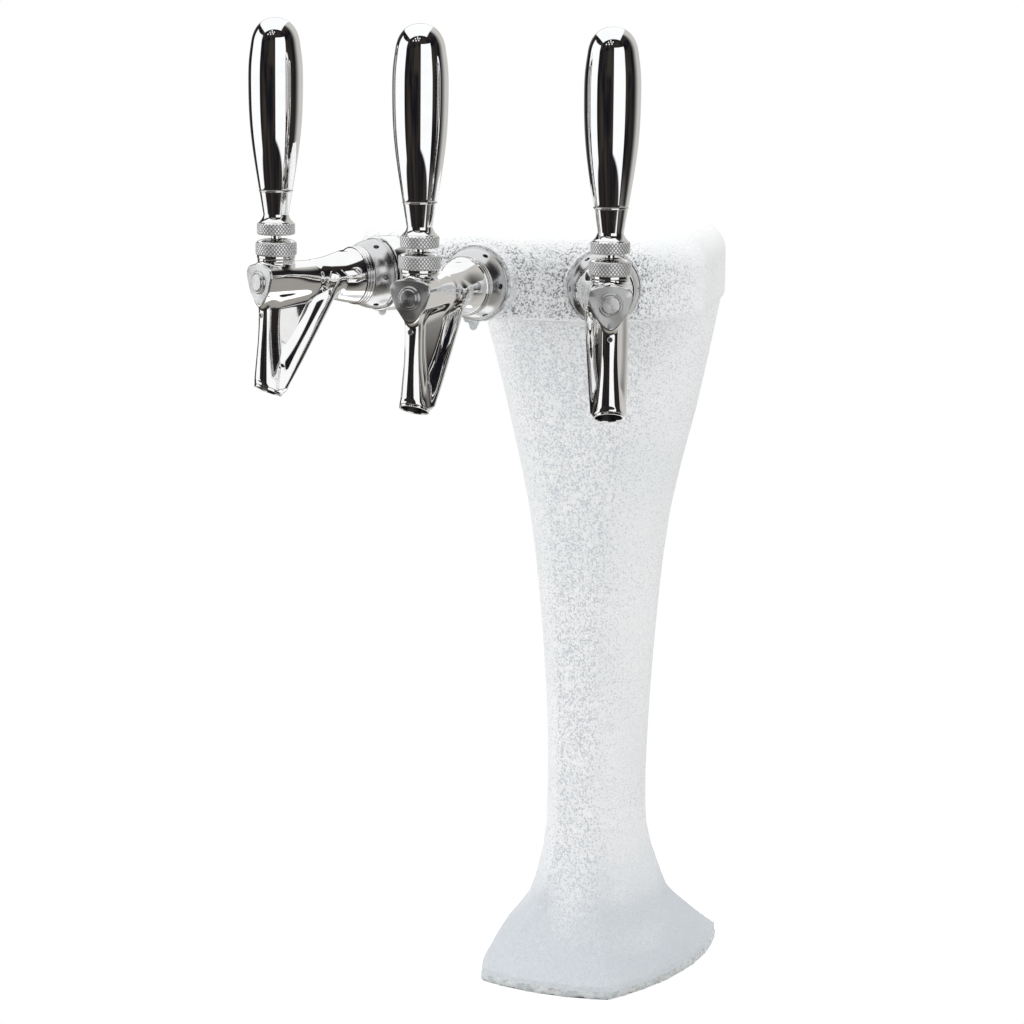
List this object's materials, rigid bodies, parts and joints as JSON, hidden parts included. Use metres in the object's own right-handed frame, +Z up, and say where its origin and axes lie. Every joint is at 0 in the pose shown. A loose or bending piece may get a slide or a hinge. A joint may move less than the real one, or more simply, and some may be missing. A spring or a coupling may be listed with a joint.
{
  "type": "beer tower dispenser",
  "caption": "Slender waisted drink tower with a shallow arc-fronted head, fanned lever taps and chilled lines inside.",
  "frame": {"origin": "centre of the four counter studs on the counter face, under the column's axis", "axes": "+Z up, the middle tap points along -Y, +X to the right of someone who pulls the taps"},
  "size_m": [0.2656, 0.3916, 0.6641],
  "materials": {
    "shell_paint": "white frosted paint over cast shell",
    "head_paint": "white frosted coat over cast aluminium",
    "collar_steel": "brushed, frosted in use",
    "base_steel": "machined",
    "rubber": "matte",
    "fastener_steel": "plain",
    "cover_steel": "satin white",
    "chill_aluminium": "machined",
    "pipe_steel": "drawn tube",
    "clip_plastic": "moulded",
    "washer_plastic": "low-friction polymer",
    "turned_chrome": "polished",
    "nut_chrome": "satin dome with bright rim",
    "faucet_chrome": "polished",
    "plug_chrome": "turned and polished",
    "valve_steel": "turned",
    "knurled_chrome": "diamond knurl",
    "lever_steel": "polished",
    "ferrule_chrome": "polished",
    "handle_chrome": "mirror polished"
  },
  "bodies": {
    "tower": {"ball_washer_left": "washer_plastic", "ball_washer_middle": "washer_plastic", "ball_washer_right": "washer_plastic", "base_gasket": "rubber", "base_plate": "base_steel", "base_screws": "fastener_steel", "beer_line_left": "pipe_steel", "beer_line_middle": "pipe_steel", "beer_line_right": "pipe_steel", "bonnet_left": "knurled_chrome", "bonnet_middle": "knurled_chrome", "bonnet_right": "knurled_chrome", "chill_block": "chill_aluminium", "column_shell": "shell_paint", "coolant_loop": "pipe_steel", "coupling_nut_left": "nut_chrome", "coupling_nut_middle": "nut_chrome", "coupling_nut_right": "nut_chrome", "cover_gasket": "rubber", "cover_screws": "fastener_steel", "faucet_body_left": "faucet_chrome", "faucet_body_middle": "faucet_chrome", "faucet_body_right": "faucet_chrome", "faucet_seal_left": "rubber", "faucet_seal_middle": "rubber", "faucet_seal_right": "rubber", "front_plug_left": "plug_chrome", "front_plug_middle": "plug_chrome", "front_plug_right": "plug_chrome", "head_screws": "fastener_steel", "head_shell": "head_paint", "line_clips": "clip_plastic", "shank_left": "turned_chrome", "shank_middle": "turned_chrome", "shank_nut_left": "fastener_steel", "shank_nut_middle": "fastener_steel", "shank_nut_right": "fastener_steel", "shank_right": "turned_chrome", "underside_cover": "cover_steel", "wall_collar_left": "collar_steel", "wall_collar_middle": "collar_steel", "wall_collar_right": "collar_steel"},
    "tap_lever_left": {"lever_left": "lever_steel", "jam_nut_left": "knurled_chrome", "ferrule_left": "ferrule_chrome", "handle_left": "handle_chrome"},
    "valve_left": {"valve_shaft_left": "valve_steel", "valve_seal_left": "rubber"},
    "tap_lever_middle": {"lever_middle": "lever_steel", "jam_nut_middle": "knurled_chrome", "ferrule_middle": "ferrule_chrome", "handle_middle": "handle_chrome"},
    "valve_middle": {"valve_shaft_middle": "valve_steel", "valve_seal_middle": "rubber"},
    "tap_lever_right": {"lever_right": "lever_steel", "jam_nut_right": "knurled_chrome", "ferrule_right": "ferrule_chrome", "handle_right": "handle_chrome"},
    "valve_right": {"valve_shaft_right": "valve_steel", "valve_seal_right": "rubber"}
  },
  "joints": [
    {"name": "lever_pull_left", "type": "hinge", "parent": "tower", "child": "tap_lever_left", "pos_m": [-0.11463, -0.25422, 0.5205], "axis": [0.8961, -0.4439, 0], "range_deg": [0, 22]},
    {"name": "valve_travel_left", "type": "slide", "parent": "tower", "child": "valve_left", "axis": [0.4439, 0.8961, 0], "range_m": [0, 0.0079]},
    {"name": "lever_pull_middle", "type": "hinge", "parent": "tower", "child": "tap_lever_middle", "pos_m": [0, -0.28105, 0.5205], "axis": [1, 0, 0], "range_deg": [0, 22]},
    {"name": "valve_travel_middle", "type": "slide", "parent": "tower", "child": "valve_middle", "axis": [0, 1, 0], "range_m": [0, 0.0079]},
    {"name": "lever_pull_right", "type": "hinge", "parent": "tower", "child": "tap_lever_right", "pos_m": [0.11463, -0.25422, 0.5205], "axis": [0.8961, 0.4439, 0], "range_deg": [0, 22]},
    {"name": "valve_travel_right", "type": "slide", "parent": "tower", "child": "valve_right", "axis": [-0.4439, 0.8961, 0], "range_m": [0, 0.0079]}
  ],
  "couplings": [
    {"joint": "valve_travel_left", "follows": "lever_pull_left", "m_per_rad": 0.02049},
    {"joint": "valve_travel_middle", "follows": "lever_pull_middle", "m_per_rad": 0.02049},
    {"joint": "valve_travel_right", "follows": "lever_pull_right", "m_per_rad": 0.02049}
  ]
}
